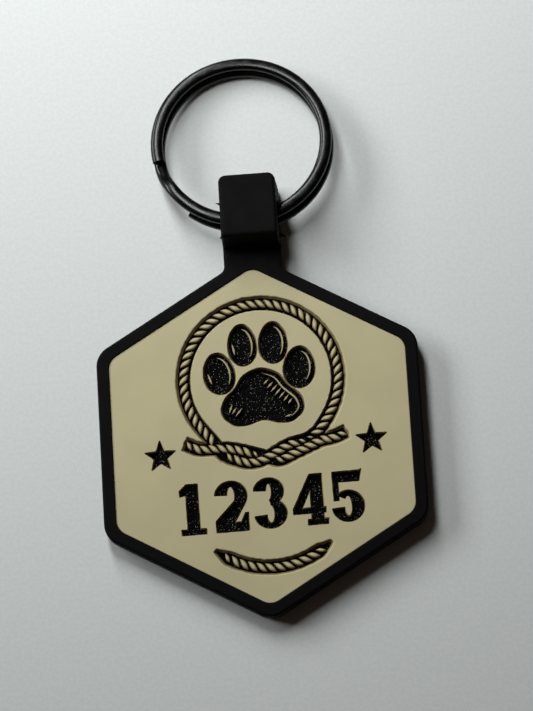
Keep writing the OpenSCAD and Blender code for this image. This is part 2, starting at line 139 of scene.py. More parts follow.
def mix_colour(tree, factor, first, second, blend="MIX"):
    inputs = {"Factor": factor, MIX_FIRST: first, MIX_SECOND: second}
    node = add_node(tree, "ShaderNodeMix", inputs, data_type="RGBA", blend_type=blend)
    return node.outputs[MIX_RESULT]


def add_bump(tree, shader, height, strength, distance):
    inputs = {"Height": height, "Strength": strength, "Distance": distance}
    feed(tree, shader.inputs["Normal"], add_node(tree, "ShaderNodeBump", inputs).outputs["Normal"])


print("colour sockets:", MIX_FIRST, MIX_SECOND)

# %% [markdown]
# ## A tool for shapes
# Every shape here is a list of points and faces, worked out in millimetres because the tag is small. The
# points come from formulas, so that every edge can have the roundness of the real one, which ready-made
# boxes and cylinders lack. One helper turns them into an object in Blender's metres.

# %% Define the tool for shapes
def new_object(name, vertices_mm, faces, sharp_angle=40):
    mesh = bpy.data.meshes.new(name)
    mesh.from_pydata([tuple(float(c) * MM for c in v) for v in vertices_mm], [], faces)
    mesh.validate()
    mesh.shade_smooth()
    mesh.set_sharp_from_angle(angle=math.radians(sharp_angle))
    made = bpy.data.objects.new(name, mesh)
    scene.collection.objects.link(made)
    return made


print("a millimetre is", MM, "of Blender's metres")

# %% [markdown]
# ## The paper
# The tag lies on pale matte paper. One square would do for a flat sheet, but a grid of quads could be
# curled later and costs nothing. Its colour wavers a little with a fine noise, and the same noise dents
# it, so that the light breaks up on it as it does on real paper.

# %% Lay the paper
PAPER_SIZE, PAPER_CELLS, PAPER_DROP = 900, 60, 0.02
PAPER_DARK, PAPER_LIGHT = (0.655, 0.68, 0.672), (0.69, 0.715, 0.708)


def paper_sheet():
    step = PAPER_SIZE / PAPER_CELLS
    line = [i * step - PAPER_SIZE / 2 for i in range(PAPER_CELLS + 1)]
    row = PAPER_CELLS + 1
    faces = [(r * row + c, r * row + c + 1, (r + 1) * row + c + 1, (r + 1) * row + c)
             for r in range(PAPER_CELLS) for c in range(PAPER_CELLS)]
    return new_object("paper", [(x, y, -PAPER_DROP) for y in line for x in line], faces)


paper = paper_sheet()
paper_finish, tree, shader = new_material("pale_paper", Roughness=0.8, Specular_IOR_Level=0.25)
fibre = noise(tree, 2600, 6)
feed(tree, shader.inputs["Base Color"],
     mix_colour(tree, map_range(tree, fibre, 0.35, 0.65), PAPER_DARK, PAPER_LIGHT))
add_bump(tree, shader, fibre, 0.06, 0.0001)
paper.data.materials.append(paper_finish)
print("paper of", PAPER_SIZE, "mm in", len(paper.data.polygons), "faces")

# %% [markdown]
# ## The light
# The paper is twice as bright at the top of the picture as at its foot, so the window is near. Its
# shadows are short and sharp downwards but soft sideways, so it is a long low strip beyond the top. One
# area light stands for its middle and a second one for its far left part. Many small lamps could copy a
# window too, but two strips leave clean highlights on the ring. A dim warm world stands for the room.

# %% Hang the lights
WINDOW_TINT, ROOM_TINT, ROOM_STRENGTH = (0.98, 1.0, 1.0), (0.75, 0.55, 0.42, 1), 0.03


def area_light(name, at_mm, towards_mm, size_mm, watts):
    data = bpy.data.lights.new(name, "AREA")
    data.shape = "RECTANGLE"
    data.size, data.size_y = size_mm[0] * MM, size_mm[1] * MM
    data.energy = watts
    data.color = WINDOW_TINT
    light = bpy.data.objects.new(name, data)
    light.location = Vector(at_mm) * MM
    light.rotation_euler = (Vector(towards_mm) - Vector(at_mm)).to_track_quat("-Z", "Y").to_euler()
    scene.collection.objects.link(light)
    return light


window = area_light("window", (-50, 180, 134), (0, 190, 0), (262, 34), 0.43)
side_window = area_light("side_window", (-285, 188, 178), (0, 190, 0), (300, 110), 1.02)
world = bpy.data.worlds.new("room")
world.use_nodes = True
room = world.node_tree.nodes["Background"].inputs
room["Color"].default_value, room["Strength"].default_value = ROOM_TINT, ROOM_STRENGTH
scene.world = world
scene.view_settings.view_transform = "Standard"
print("lights in W:", {light.name: round(light.data.energy, 2) for light in (window, side_window)})

# %% [markdown]
# ## Shared effects
# The finishes share three effects. Mould grain is the skin of the mould: a fine noise for height and a
# broad one for mottling. Stray specks are dust, burnt residue and dirt, and in the engraved bed also
# painted glints: cells of which a few, picked by their random colour, show a dot. Laser scorch is the
# brown on the walls of the cut, and it deepens with depth. Each is a node group with named inputs, so
# every material can place it with its own values.

# %% Make the shared effects
NUMBER, COLOUR = "NodeSocketFloat", "NodeSocketColor"
# How far down the burn is, from clean to charred, and what it does to the colour there
SCORCH_COLOURS = [(0.16, (0.66, 0.60, 0.50, 1)), (0.68, (0.40, 0.33, 0.24, 1)),
                  (0.82, (0.10, 0.075, 0.05, 1))]
UNBURNT, CHARRED = (1, 1, 1, 1), (0.01, 0.009, 0.008, 1)


def new_group(name, inputs, outputs):
    group = bpy.data.node_groups.new(name, "ShaderNodeTree")
    for labels, direction in ((inputs, "INPUT"), (outputs, "OUTPUT")):
        for label, kind in labels:
            group.interface.new_socket(name=label, in_out=direction, socket_type=kind)
    return group, group.nodes.new("NodeGroupInput").outputs, group.nodes.new("NodeGroupOutput").inputs


def place_group(tree, group, **values):
    inputs = {name.replace("_", " "): value for name, value in values.items()}
    return add_node(tree, "ShaderNodeGroup", inputs, node_tree=group).outputs


def calculate(tree, operation, first, second):
    return add_node(tree, "ShaderNodeMath", {0: first, 1: second}, operation=operation).outputs[0]


grain, given, result = new_group("mould_grain", [("Fine Scale", NUMBER), ("Broad Scale", NUMBER)],
                                 [("Height", NUMBER), ("Mottle", NUMBER)])
feed(grain, result["Height"], noise(grain, given["Fine Scale"], 3))
feed(grain, result["Mottle"], map_range(grain, noise(grain, given["Broad Scale"], 5), 0.3, 0.7))

specks, given, result = new_group("stray_specks", [("Scale", NUMBER), ("Radius", NUMBER), ("Amount", NUMBER)],
                                  [("Mask", NUMBER)])
cells = add_node(specks, "ShaderNodeTexVoronoi",
                 {"Vector": object_place(specks), "Scale": given["Scale"]})
chance = add_node(specks, "ShaderNodeSeparateColor", {"Color": cells.outputs["Color"]})
near = calculate(specks, "LESS_THAN", cells.outputs["Distance"], given["Radius"])
picked = calculate(specks, "LESS_THAN", chance.outputs["Red"], given["Amount"])
feed(specks, result["Mask"], calculate(specks, "MULTIPLY", near, picked))

scorch, given, result = new_group("laser_scorch", [("Clean Colour", COLOUR), ("Clean Above", NUMBER),
                                                   ("Charred Below", NUMBER)], [("Colour", COLOUR)])
place = add_node(scorch, "ShaderNodeSeparateXYZ", {0: object_place(scorch)})
depth = map_range(scorch, place.outputs["Z"], given["Clean Above"], given["Charred Below"],
                  interpolation="LINEAR")
burn = add_node(scorch, "ShaderNodeValToRGB", {"Fac": depth})
for spot, colour in SCORCH_COLOURS:
    burn.color_ramp.elements.new(spot).color = colour
burn.color_ramp.elements[0].color = UNBURNT
burn.color_ramp.elements[-1].color = CHARRED
feed(scorch, result["Colour"],
     mix_colour(scorch, 1.0, given["Clean Colour"], burn.outputs["Color"], blend="MULTIPLY"))
print("shared effects:", ", ".join(g.name for g in (grain, specks, scorch)))

# %% [markdown]
# ## Black silicone
# Moulded silicone is almost matte, and its pigment is a blue-black. It shows a faint grain up close, and it
# holds pale dust. A picture could carry those marks, but noise never runs out of detail. The grain is a
# bump, and the dust is a mask that lifts the colour.

# %% Mix the black silicone
BLACK, DUST = (0.0022, 0.0021, 0.0025), (0.07, 0.066, 0.06)
WORN_BLACK = tuple(c * 1.5 for c in BLACK)


def cover(tree, shader, colour, skin, roughness, relief):
    """Links a colour, and the grain's mottle and height as roughness and as relief."""
    feed(tree, shader.inputs["Base Color"], colour)
    feed(tree, shader.inputs["Roughness"], map_range(tree, skin["Mottle"], 0, 1, *roughness))
    add_bump(tree, shader, skin["Height"], *relief)


black_silicone, tree, shader = new_material("black_silicone", Specular_IOR_Level=0.055)
skin = place_group(tree, grain, Fine_Scale=14000.0, Broad_Scale=420.0)
dust = place_group(tree, specks, Scale=900.0, Radius=0.07, Amount=0.035)
colour = mix_colour(tree, dust["Mask"], mix_colour(tree, skin["Mottle"], BLACK, WORN_BLACK), DUST)
cover(tree, shader, colour, skin, (0.56, 0.7), (0.25, 0.00003))
print("mixed", black_silicone.name)

# %% [markdown]
# ## The engraved bed
# Where the laser has cut down to the black, the surface is a rough crust that glitters in places, with a
# little pale burnt residue left in it. It is the same kind of black with a stronger grain and many finer
# specks, which are partly that residue and partly painted glints.

# %% Mix the engraved black
# The pale specks are burnt residue left in the crust, and they also paint glints on it.
CRUST_DARK, CRUST_LIGHT, ASH_AND_GLINT = (0.0006, 0.0006, 0.0006), (0.0014, 0.0014, 0.0013), (0.32, 0.30, 0.26)

engraved_black, tree, shader = new_material("engraved_black", Specular_IOR_Level=0.04)
crust = place_group(tree, grain, Fine_Scale=12000.0, Broad_Scale=2600.0)
ash_and_glints = place_group(tree, specks, Scale=9500.0, Radius=0.34, Amount=0.12)
colour = mix_colour(tree, ash_and_glints["Mask"], mix_colour(tree, crust["Mottle"], CRUST_DARK, CRUST_LIGHT), ASH_AND_GLINT)
cover(tree, shader, colour, crust, (0.34, 0.7), (0.6, 0.00006))
print("mixed", engraved_black.name)

# %% [markdown]
# ## Sand-coloured silicone
# The coloured layer is matte too, and slightly mottled where hands have touched it. The walls of the cut
# turn brown and then black with depth. They could be painted by hand, but the scorch group works it out
# from the height above the back. The back layer isn't burnt. The strands and the paw's slivers darken
# nearer to their tops, which is partly scorch and partly painted shade on their rounded sides.

# %% Mix the sand silicone
SAND, DIRT = (0.50, 0.445, 0.262), (0.12, 0.10, 0.06)
DULL_SAND, FRESH_SAND = (tuple(c * share for c in SAND) for share in (0.95, 1.04))

sand_silicone, tree, shader = new_material("sand_silicone", Specular_IOR_Level=0.3)
skin = place_group(tree, grain, Fine_Scale=9000.0, Broad_Scale=160.0)
marks = place_group(tree, specks, Scale=420.0, Radius=0.035, Amount=0.10)
clean = mix_colour(tree, marks["Mask"], mix_colour(tree, skin["Mottle"], DULL_SAND, FRESH_SAND), DIRT)
burnt = place_group(tree, scorch, Clean_Colour=clean, Clean_Above=(PANEL_TOP - 0.015) * MM,
                    Charred_Below=(PANEL_TOP - 0.52) * MM)
cover(tree, shader, burnt["Colour"], skin, (0.55, 0.68), (0.15, 0.00003))


def other_depths(name, clean_above, charred_below):
    material = sand_silicone.copy()
    material.name = name
    for node in material.node_tree.nodes:
        if node.type == "GROUP" and node.node_tree == scorch:
            node.inputs["Clean Above"].default_value = clean_above
            node.inputs["Charred Below"].default_value = charred_below
    return material


back_sand = other_depths("sand_silicone_back", -0.001, -0.002)
# On the strands the darkening starts sooner: partly scorch, and partly painted shade on their rounded sides.
strand_sand_painted_shade = other_depths("sand_silicone_strand_painted_shade", (PANEL_TOP - 0.02) * MM, (PANEL_TOP - 0.36) * MM)
print("mixed", ", ".join(m.name for m in (sand_silicone, back_sand, strand_sand_painted_shade)))

# %% [markdown]
# ## The ring's black coat
# The wire is spring steel with a thin black coat, so the coat alone decides how it looks. It is smoother
# than the silicone and draws long soft highlights along each turn. They waver, because the coat is
# mottled where the turns have rubbed.

# %% Mix the ring's coat
COAT_DARK, COAT_LIGHT = (0.0012, 0.0012, 0.0011), (0.0026, 0.0025, 0.0023)

ring_coat, tree, shader = new_material("ring_coat", Specular_IOR_Level=0.28)
skin = place_group(tree, grain, Fine_Scale=6000.0, Broad_Scale=900.0)
colour = mix_colour(tree, skin["Mottle"], COAT_DARK, COAT_LIGHT)
cover(tree, shader, colour, skin, (0.19, 0.28), (0.12, 0.00002))

print("mixed", ring_coat.name)

# %% [markdown]
# ## Outlines from the solids
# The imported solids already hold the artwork. Their top faces lie flat at the height of the front panel, so
# the edges that only one of those faces uses are its outlines: the rope, the paw, the digits and each
# strand. Read from the mesh, they need no second drawing, and they follow the solids if those change.

# %% Read the outlines
LEVEL_TOLERANCE = 0.01


def top_outlines(node):
    """The closed outlines of a node's top face, in millimetres, outer ones and holes alike."""
    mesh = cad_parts[node].data
    keys = [tuple(round(c / MM, 4) for c in v.co) for v in mesh.vertices]
    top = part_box(node)[1].z / MM
    following = {}
    for face in mesh.polygons:
        corners = [keys[i] for i in face.vertices]
        if all(abs(c[2] - top) < LEVEL_TOLERANCE for c in corners):
            for a, b in zip(corners, corners[1:] + corners[:1]):
                if a in following.get(b, ()):
                    following[b].discard(a)
                else:
                    following.setdefault(a, set()).add(b)
    outlines = []
    while any(following.values()):
        here = next(k for k, ends in following.items() if ends)
        outline = []
        while following.get(here):
            outline.append(here[:2])
            here = following[here].pop()
        outlines.append(np.array(outline))
    return outlines


def widest_first(outlines):
    return sorted(outlines, key=lambda o: -np.ptp(o[:, 0]))


rope_strands = {node: top_outlines(node)
                for node in ("rope_ring_strands", "rope_tie_strands", "rope_garland_strands")}
field_cuts = widest_first(top_outlines("front_panel"))[1:]
medallion_edge, *paw_cuts = widest_first(top_outlines("front_medallion"))
digit_eyes = top_outlines("digit_counter")
print("strands:", {k: len(v) for k, v in rope_strands.items()}, "cuts in the field:", len(field_cuts))

# %% [markdown]
# ## The outline of the hexagon
# The hexagon is drawn afresh, because its corners want more points than the solid has. Its neck stands a
# little to the right of the middle, as the moulding's does. Each corner becomes an arc, and a second
# helper moves a whole outline in or out, for the rim and for every rounded edge.

# %% Draw the hexagon
BACK_PANEL_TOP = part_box("back_panel")[1].z / MM
BODY_T = 2.5
ACROSS_FLATS, RIM_W = 35.0, 1.37
CORNER_R, PANEL_CORNER_R, NECK_FILLET_R = 2.4, 1.7, 0.9
NECK_W, NECK_END, NECK_END_R, NECK_ASIDE = 6.35, 20.6, 1.0, 0.2
HEX_R = ACROSS_FLATS / math.sqrt(3)
PANEL_R = (ACROSS_FLATS - 2 * RIM_W) / math.sqrt(3)


def rounded(points, radii, steps=9):
    """A polygon whose corners are arcs of the given radii."""
    outline = []
    for i, (q, r) in enumerate(zip(points, radii)):
        q = np.array(q, float)
        u, v = (np.array(w, float) - q for w in (points[i - 1], points[(i + 1) % len(points)]))
        u, v = u / np.hypot(*u), v / np.hypot(*v)
        half = math.acos(np.dot(u, v)) / 2
        centre = q + (u + v) / np.hypot(*(u + v)) * r / math.sin(half)
        start, end = (q + w * r / math.tan(half) - centre for w in (u, v))
        a = math.atan2(start[1], start[0])
        turn = (math.atan2(end[1], end[0]) - a + math.pi) % (2 * math.pi) - math.pi
        angles = [a + turn * k / steps for k in range(steps + 1)]
        outline += [centre + r * np.array([math.cos(t), math.sin(t)]) for t in angles]
    return np.array(outline)


def hexagon(reach):
    angles = [math.radians(60 * i - 30) for i in range(6)]
    return [(reach * math.cos(a), reach * math.sin(a)) for a in angles]


def grown(outline, by):
    """The outline moved outwards by its own normals, or inwards where the number is negative."""
    along = np.roll(outline, -1, axis=0) - np.roll(outline, 1, axis=0)
    along /= np.hypot(*along.T)[:, None]
    return outline + by * np.stack([along[:, 1], -along[:, 0]], axis=1)


panel_outline = rounded(hexagon(PANEL_R), [PANEL_CORNER_R] * 6)
corners = hexagon(HEX_R)
neck_left, neck_right = NECK_ASIDE - NECK_W / 2, NECK_ASIDE + NECK_W / 2
core_outline = rounded(
    [corners[1], (neck_right, HEX_R - neck_right / math.sqrt(3)), (neck_right, NECK_END),
     (neck_left, NECK_END), (neck_left, HEX_R + neck_left / math.sqrt(3)), *corners[3:], corners[0]],
    [CORNER_R, NECK_FILLET_R, NECK_END_R, NECK_END_R, NECK_FILLET_R, *[CORNER_R] * 4])
print("core outline of", len(core_outline), "points")

# %% [markdown]
# ## Lofts and fills
# Most of the core is a loft: a row of closed outlines, each a little lower or further in than the last,
# joined by strips of quads. A rounded edge is a few such outlines on a quarter circle. A flat face with a
# hole in it is filled by a constrained triangulation, which uses the outlines' own points, so the mesh
# stays closed. One more outline just beside each rounded edge keeps the flat faces looking flat.

# %% Build lofts and fills
TRIANGLES_INSIDE = 1
WELD_GAP = 0.0005


def strip(a, b, n):
    """Quads between two closed rings of n points, which start at a and at b."""
    return [(a + i, a + (i + 1) % n, b + (i + 1) % n, b + i) for i in range(n)]


def add_loops(vertices, faces, loops):
    starts = []
    for outline, z in loops:
        starts.append(len(vertices))
        vertices.extend((x, y, z) for x, y in outline)
    n = len(loops[0][0])
    for a, b in zip(starts, starts[1:]):
        faces.extend(strip(a, b, n))
    return range(starts[0], starts[0] + n), range(starts[-1], starts[-1] + n)


def fill(vertices, faces, outer, hole=()):
    ids = [*outer, *hole]
    edges = [(i, (i + 1) % len(outer)) for i in range(len(outer))]
    edges += [(len(outer) + i, len(outer) + (i + 1) % len(hole)) for i in range(len(hole))]
    made = delaunay_2d_cdt([Vector(vertices[i][:2]) for i in ids], edges, [], TRIANGLES_INSIDE, 1e-6)
    back = [ids[origin[0]] for origin in made[3]]
    for face in made[2]:
        if not hole or min(face) < len(outer):
            faces.append(tuple(back[i] for i in face))


def quarter(r, steps=4):
    """Points of a quarter circle: how far in and how far down from the sharp corner."""
    turns = [math.pi / 2 * k / steps for k in range(steps + 1)]
    return [(r * (1 - math.sin(t)), r * (1 - math.cos(t))) for t in turns]


def closed(piece):
    """Welds a closed mesh, turns its faces outwards and reports loose edges."""
    shape = bmesh.new()
    shape.from_mesh(piece.data)
    bmesh.ops.remove_doubles(shape, verts=shape.verts, dist=WELD_GAP * MM)
    bmesh.ops.recalc_face_normals(shape, faces=shape.faces)
    open_edges = sum(len(e.link_faces) != 2 for e in shape.edges)
    shape.to_mesh(piece.data)
    shape.free()
    if open_edges:
        print(piece.name, "has", open_edges, "edges that aren't shared by two faces")
    return piece


print("a rounded edge goes in and down by", [tuple(round(c, 2) for c in p) for p in quarter(1)])

# %% [markdown]
# ## The hexagon of the core
# The core is one moulding: a hexagon with a raised rim and a neck, and a belt loop with a tunnel for the
# ring. The hexagon is a loft from its rounded foot to its rim, with a shallow well on each face for the
# coloured layers. Bevels on the solid would be quicker, but they fail where its arcs have short edges.

# %% Loft the hexagon
RIM_R, FOOT_R, RECESS_R, SUPPORT = 0.26, 0.80, 0.07, 0.06


def core_plate():
    vertices, faces = [], []
    wall = [(grown(core_outline, -FOOT_R - SUPPORT), 0.0)]
    wall += [(grown(core_outline, -inset), drop) for inset, drop in quarter(FOOT_R)]
    wall += [(grown(core_outline, -inset), BODY_T - drop) for inset, drop in reversed(quarter(RIM_R))]
    wall += [(grown(core_outline, -RIM_R - SUPPORT), BODY_T)]
    under, over = add_loops(vertices, faces, wall)
    steps = [(RECESS_R + SUPPORT, 0.0), *quarter(RECESS_R, 2)]
    for rim, height, floor, way in ((over, BODY_T, PANEL_FLOOR, -1), (under, 0.0, BACK_PANEL_TOP, 1)):
        well = [(grown(panel_outline, inset), height + way * drop) for inset, drop in steps]
        mouth, bed = add_loops(vertices, faces, well + [(panel_outline, floor)])
        fill(vertices, faces, rim, mouth)
        fill(vertices, faces, bed)
    return closed(new_object("core_shell", vertices, faces, 60))


core_shell = core_plate()
print("hexagon loft:", len(core_shell.data.polygons), "faces")

# %% [markdown]
# ## The belt loop
# The loop is rounder than the hexagon, with fillets that run into each other, which bevels do badly. So it
# is described as a distance: a formula that says how far any point is from its surface. Blocks and a
# cylinder are joined and cut in that formula with rounded corners.

# %% Describe the loop
LUG_END, LUG_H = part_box("core_body")[1].y / MM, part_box("core_body")[1].z / MM
LUG_START, LUG_FOOT, LUG_FRONT_W, LUG_LEAN = 19.55, 20.927, 6.15, 0.3
TUNNEL_Y, TUNNEL_Z, TUNNEL_R, TUNNEL_EDGE_R = 23.777, 3.45, 1.816, 0.2
# Edge radii: the upright far edges, those round the top, and the three that meet the near wall
LUG_PLAN_R, LUG_TOP_R, NEAR_SIDE_R, NEAR_TOP_R, NEAR_RIM_R = 0.80, 0.55, 0.27, 0.62, 0.34
LUG_START_R, CREASE_R = 0.1, 0.12
# The loop is a hair wider and higher than the neck, so that their skins cross cleanly
HAIR = 0.008


def round_max(a, b, r):
    """Where both distances hold: the cut of two solids, its edge rounded with radius r."""
    return np.minimum(np.maximum(a, b), -r) + np.hypot(np.maximum(a + r, 0), np.maximum(b + r, 0))


def round_min(a, b, r):
    return -round_max(-a, -b, r)


def lug_distance(x, y, z):
    rise = np.clip((z - BODY_T) / (LUG_H - BODY_T), 0, 1)
    sides = np.abs(x - NECK_ASIDE) - (NECK_W + (LUG_FRONT_W - NECK_W) * rise) / 2 - HAIR
    tilt = math.atan2(LUG_LEAN, LUG_H - BODY_T)
    near_wall = (LUG_FOOT - y) * math.cos(tilt) + (z - BODY_T) * math.sin(tilt)
    neck_top = z - BODY_T - HAIR
    ends = round_max(sides, y - LUG_END, LUG_PLAN_R)
    block = round_max(ends, LUG_START - y, LUG_START_R)
    block = round_max(block, round_min(near_wall, neck_top, CREASE_R), NEAR_SIDE_R)
    over_near = round_max(z - LUG_H, near_wall, NEAR_TOP_R)
    block = round_max(block, round_min(over_near, neck_top, CREASE_R), NEAR_RIM_R)
    block = round_max(block, z - LUG_H, LUG_TOP_R)
    block = round_max(block, -z, FOOT_R)
    bore = TUNNEL_R - np.hypot(y - TUNNEL_Y, z - TUNNEL_Z)
    return round_max(block, bore, TUNNEL_EDGE_R)


print("distance in the middle of the tunnel:", round(float(lug_distance(0, TUNNEL_Y, TUNNEL_Z)), 2), "mm")

# %% [markdown]
# ## The skin of the belt loop
# A net of quads is drawn where that distance is nought. Blender's remesh could do it from rough blocks,
# but it would soften every edge alike. Here one point goes in each cell that the surface crosses, and it
# slides down the slope of the distance until it lies on the surface.

# %% Draw the skin
LUG_LOW, LUG_HIGH, LUG_CELL = (-3.7, 19.3, -0.4), (3.7, 28.9, 7.3), 0.125
SLIDES, SLIDE_SHARE, PROBE, LEAST_SLOPE = 8, 0.8, 1e-4, 0.2


def skin_of(distance, low, high, cell):
    axes = [np.arange(a, b + cell, cell) for a, b in zip(low, high)]
    inside = distance(*np.meshgrid(*axes, indexing="ij")) < 0
    n = [len(axis) for axis in axes]
    held = sum(inside[i:n[0] - 1 + i, j:n[1] - 1 + j, k:n[2] - 1 + k].astype(int)
               for i in (0, 1) for j in (0, 1) for k in (0, 1))
    crossed = (held > 0) & (held < 8)
    number = np.full(crossed.shape, -1)
    number[crossed] = np.arange(crossed.sum())
    points = np.stack([axis[i] + cell / 2 for axis, i in zip(axes, np.nonzero(crossed))], axis=1)
    for _ in range(SLIDES):
        here = distance(*points.T)
        slope = np.stack([(distance(*(points + step).T) - distance(*(points - step).T)) / (2 * PROBE)
                          for step in np.eye(3) * PROBE], axis=1)
        steepness = np.maximum((slope ** 2).sum(1), LEAST_SLOPE)
        points -= SLIDE_SHARE * (here / steepness)[:, None] * slope
    quads = []
    for axis in range(3):
        other = [a for a in range(3) if a != axis]
        first, second = (np.take(inside, range(s, n[axis] - 1 + s), axis) for s in (0, 1))
        for cut, flip in ((first & ~second, False), (~first & second, True)):
            at = np.stack(np.nonzero(cut), axis=1)
            corner = []
            for da, db in ((0, 0), (-1, 0), (-1, -1), (0, -1)):
                cell_at = at.copy()
                cell_at[:, other[0]] += da
                cell_at[:, other[1]] += db
                corner.append(number[tuple(cell_at.T)])
            quad = np.stack(corner, axis=1)
            quads += (quad[:, ::-1] if flip else quad).tolist()
    return points, quads


lug_points, lug_quads = skin_of(lug_distance, LUG_LOW, LUG_HIGH, LUG_CELL)
lug = closed(new_object("lug", lug_points, lug_quads, 180))
print("belt loop:", len(lug_quads), "quads")

# %% [markdown]
# ## One core
# The hexagon and the loop overlap inside the neck. Left like that, their hidden faces would stay in the
# mesh, so a boolean modifier unites them into one closed skin. It works in millimetres here, because
# lengths in metres are too small for its tolerance.

# %% Unite the loop with the hexagon
def dress(piece, material, slot, body, *nodes):
    """Gives a piece its finish and its body, and hides the solids that it stands for. Its slot is not used.
    """
    piece.data.materials.append(material)
    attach(piece, body)
    if nodes:
        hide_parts(*nodes)
    print(piece.name, "has", len(piece.data.polygons), "faces")
    return piece


for piece in (core_shell, lug):
    piece.data.transform(Matrix.Scale(1 / MM, 4))
union = core_shell.modifiers.new("with_lug", "BOOLEAN")
union.operation, union.object, union.solver = "UNION", lug, "EXACT"
evaluated = core_shell.evaluated_get(bpy.context.evaluated_depsgraph_get())
united = bpy.data.meshes.new_from_object(evaluated)
core_shell.modifiers.clear()
core_shell.data = united
core_shell.data.transform(Matrix.Scale(MM, 4))
bpy.data.objects.remove(lug)
dress(closed(core_shell), black_silicone, "black_silicone", "tag", "core_body")

# %% [markdown]
# ## Flash at the tunnel
# Where the two halves of the mould met round the tunnel, a little silicone squeezed out and stayed as thin
# torn fins. Each fin is a strip along the tunnel's mouth. Its height swells and dies away along the strip
# with a tear in it, and it is thinner at its free edge than at its root, which is sunk into the lug.

# %% Tear the fins
# Side of the lug, first and last angle round the tunnel from +Y towards +Z, reach and outward splay
FINS = [(-1, 0, 34, 0.34, 0.3), (-1, 160, 190, 0.12, 0.4), (1, 158, 215, 0.5, 0.5), (1, 20, 78, 0.24, 0.3)]
FIN_STEPS, FIN_ROOT, LEAST_FIN = 14, -0.35, 0.02
TEAR_DEPTH, TEAR_PACE, SWELL = 0.35, 9, 0.7
# How far the four edges of a fin lie out from the tunnel's wall
ROOT_IN, TIP_IN, TIP_OUT, ROOT_OUT = 0.03, 0.05, 0.10, 0.24


def fin(side, start, end, reach, splay):
    """Four loops of points round a thin strip from one angle to another about the tunnel's axis."""
    vertices, faces = [], []
    for i in range(FIN_STEPS + 1):
        f = i / FIN_STEPS
        angle = math.radians(start + (end - start) * f)
        tear = 1 - TEAR_DEPTH * math.sin(TEAR_PACE * f + 1)
        height = reach * math.sin(math.pi * f) ** SWELL * tear + LEAST_FIN
        for radius, out in ((ROOT_IN, FIN_ROOT), (TIP_IN + splay * height, height),
                            (TIP_OUT + splay * height, height), (ROOT_OUT, FIN_ROOT)):
            vertices.append((NECK_ASIDE + side * (NECK_W / 2 + out),
                             TUNNEL_Y + (TUNNEL_R + radius) * math.cos(angle),
                             TUNNEL_Z + (TUNNEL_R + radius) * math.sin(angle)))
    for i in range(FIN_STEPS):
        faces += strip(4 * i, 4 * i + 4, 4)
    faces += [(3, 2, 1, 0), tuple(4 * FIN_STEPS + k for k in range(4))]
    return vertices, faces


vertices, faces = [], []
for spec in FINS:
    more, strips = fin(*spec)
    faces += [tuple(i + len(vertices) for i in face) for face in strips]
    vertices += more
dress(closed(new_object("tunnel_flash", vertices, faces, 50)), black_silicone, "black_silicone", "tag")

# %% [markdown]
# ## The carved layer as a distance map
# The laser's cut has sloping walls, softened lips and an edge that follows each strand of the rope. All
# of that is easy with a map of how far every point of the face lies from the edge of the cut: a grid of
# signed distances, less than nought where the laser has cut. Booleans between meshes could cut the same
# outlines, but not soften them.

# %% Measure distances
CELL = 0.05
MAP_X = np.arange(-14.4, 14.8, CELL)
MAP_Y = np.arange(-16.4, 16.4, CELL)
FAR = 1.2


def signed_distance(outline, px, py):
    best = np.full(px.shape, 1e9)
    inside = np.zeros(px.shape, bool)
    for (ax, ay), (bx, by) in zip(outline, np.roll(outline, -1, axis=0)):
        ex, ey = bx - ax, by - ay
        t = np.clip(((px - ax) * ex + (py - ay) * ey) / (ex * ex + ey * ey + 1e-12), 0, 1)
        best = np.minimum(best, (px - ax - ex * t) ** 2 + (py - ay - ey * t) ** 2)
        inside ^= ((ay > py) != (by > py)) & (px < ex * (py - ay) / (ey if ey else 1) + ax)
    return np.where(inside, -1, 1) * np.sqrt(best)


def paint(field, outline, change):
    """Works out the outline's distance near it, and lets change(old, distance) set the field there."""
    low, high = outline.min(0) - FAR, outline.max(0) + FAR
    cols = slice(*np.searchsorted(MAP_X, (low[0], high[0])))
    rows = slice(*np.searchsorted(MAP_Y, (low[1], high[1])))
    px, py = np.meshgrid(MAP_X[cols], MAP_Y[rows])
    field[rows, cols] = change(field[rows, cols], signed_distance(outline, px, py))


def holds(outline, point):
    return signed_distance(outline, np.array([point[0]]), np.array([point[1]]))[0] < 0


print("map of", len(MAP_X), "by", len(MAP_Y), "cells")

# %% [markdown]
# ## The cut on the map
# Cuts are joined with a minimum, and islands are kept with a maximum. Where the distance is multiplied,
# the wall is steeper: the digits and the disc are crisp, the paw less so, and the rope lies in a soft
# trough. A little waviness is added, because a burnt edge is never true.

# %% Map the cut
STRAND_MARGIN, BAND_SHRINK, CRISPNESS = 0.16, 0.05, 2.4
PAW_CRISPNESS, PAW_SHRINK = 1.6, 0.06
RIPPLES, RIPPLE_HEIGHT = 14, 0.006

strand_outlines = [o for outlines in rope_strands.values() for o in outlines]
rope_cuts = [c for c in field_cuts if any(holds(c, o.mean(0)) for o in strand_outlines)]
plain_cuts = [c for c in field_cuts if not any(c is r for r in rope_cuts)]

